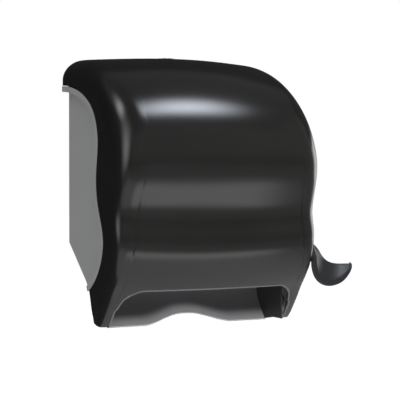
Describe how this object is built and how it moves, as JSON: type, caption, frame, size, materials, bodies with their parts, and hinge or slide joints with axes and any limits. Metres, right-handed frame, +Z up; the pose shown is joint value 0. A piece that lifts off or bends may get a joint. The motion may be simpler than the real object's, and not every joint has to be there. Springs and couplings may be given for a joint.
{
  "type": "lever paper towel dispenser",
  "caption": "Wall-mounted dispenser for rolled paper towels: a hinged smoked cover over a grey housing, with a push lever that turns a geared feed roller.",
  "frame": {"origin": "centre of the four wall screw holes, on the wall plane", "axes": "+Z up, +X to the right seen from the front, -Y out of the front, +Y into the wall"},
  "size_m": [0.3177, 0.217, 0.326],
  "materials": {
    "cover": "smoked black, soft gloss",
    "housing": "light grey, fine matt texture",
    "charcoal": "dark charcoal, satin",
    "frame_plastic": "mid grey, matt",
    "gear_plastic": "natural ivory, waxy",
    "roller_plastic": "black, satin",
    "rubber": "ground rubber",
    "steel": "bright drawn steel",
    "blade_steel": "stamped stainless strip",
    "zinc": "zinc plated",
    "hub_plastic": "grey, satin",
    "lock_metal": "die-cast, plated"
  },
  "bodies": {
    "base": {"rear_housing": "housing", "towel_chute": "charcoal", "chute_screws": "zinc", "left_side_frame": "frame_plastic", "right_side_frame": "frame_plastic", "frame_screws": "zinc", "front_bridge": "frame_plastic", "bridge_screws": "zinc", "tear_bar": "blade_steel", "tear_bar_screws": "zinc", "feed_roller_bushes": "gear_plastic", "lever_bush": "gear_plastic", "lever_return_spring": "steel", "pinch_springs": "blade_steel", "latch_keeper": "zinc", "keeper_screws": "zinc", "cover_hinge_pins": "steel", "arm_pivot_pins": "steel"},
    "cover": {"cover_shell": "cover", "lock_barrel": "lock_metal", "lock_nut": "zinc"},
    "lock": {"lock_plug": "lock_metal", "lock_cam": "zinc", "cam_screw": "zinc"},
    "lever": {"push_lever": "charcoal", "lever_shaft": "steel", "sector_gear": "gear_plastic", "lever_screw": "zinc", "spring_catch": "gear_plastic"},
    "pinion": {"drive_pinion": "gear_plastic", "one_way_clutch": "steel"},
    "feed_roller": {"feed_roller_shaft": "steel", "feed_roller_core": "roller_plastic", "feed_roller_sleeves": "rubber", "shaft_clips": "zinc"},
    "pinch_carrier": {"pinch_shaft": "steel", "pinch_bearing_blocks": "gear_plastic"},
    "pinch_roller": {"pinch_roller": "roller_plastic"},
    "left_arm": {"left_roll_arm": "frame_plastic", "left_hub_clip": "zinc"},
    "right_arm": {"right_roll_arm": "frame_plastic", "right_hub_clip": "zinc"},
    "left_hub": {"left_roll_hub": "hub_plastic"},
    "right_hub": {"right_roll_hub": "hub_plastic"}
  },
  "joints": [
    {"name": "cover_hinge", "type": "hinge", "parent": "base", "child": "cover", "pos_m": [0, -0.122, -0.175], "axis": [1, 0, 0], "range_deg": [0, 100]},
    {"name": "lock_turn", "type": "hinge", "parent": "cover", "child": "lock", "pos_m": [0, -0.026, 0.125], "axis": [0, 0, 1], "range_deg": [0, 90]},
    {"name": "lever_push", "type": "hinge", "parent": "base", "child": "lever", "pos_m": [0.11, -0.09634, -0.10589], "axis": [1, 0, 0], "range_deg": [0, 40], "stiffness_Nm_per_rad": 0.25, "springref_deg": -20.05, "deforming": ["lever_return_spring"]},
    {"name": "pinion_turn", "type": "hinge", "parent": "base", "child": "pinion", "pos_m": [0.11, -0.14, -0.095], "axis": [1, 0, 0], "range_deg": [-165, 5]},
    {"name": "feed_roller_turn", "type": "hinge", "parent": "base", "child": "feed_roller", "pos_m": [0, -0.14, -0.095], "axis": [1, 0, 0], "continuous": true},
    {"name": "pinch_give", "type": "slide", "parent": "base", "child": "pinch_carrier", "axis": [0, 1, 0], "range_m": [0, 0.002], "stiffness_N_per_m": 900, "springref_m": -0.003, "deforming": ["pinch_springs"]},
    {"name": "pinch_roller_turn", "type": "hinge", "parent": "pinch_carrier", "child": "pinch_roller", "pos_m": [0, -0.113, -0.095], "axis": [1, 0, 0], "continuous": true},
    {"name": "left_arm_spread", "type": "hinge", "parent": "base", "child": "left_arm", "pos_m": [-0.1055, -0.014, 0.026], "axis": [0, 0, -1], "range_deg": [0, 5], "stiffness_Nm_per_rad": 0.8, "springref_deg": -8.59},
    {"name": "right_arm_spread", "type": "hinge", "parent": "base", "child": "right_arm", "pos_m": [0.1055, -0.014, 0.026], "axis": [0, 0, 1], "range_deg": [0, 5], "stiffness_Nm_per_rad": 0.8, "springref_deg": -8.59},
    {"name": "left_hub_turn", "type": "hinge", "parent": "left_arm", "child": "left_hub", "pos_m": [-0.104, -0.101, 0.026], "axis": [1, 0, 0], "continuous": true},
    {"name": "right_hub_turn", "type": "hinge", "parent": "right_arm", "child": "right_hub", "pos_m": [0.104, -0.101, 0.026], "axis": [1, 0, 0], "continuous": true}
  ],
  "couplings": [
    {"joint": "pinion_turn", "follows": "lever_push", "ratio": -4},
    {"joint": "pinch_roller_turn", "follows": "feed_roller_turn", "ratio": -1.7526}
  ]
}
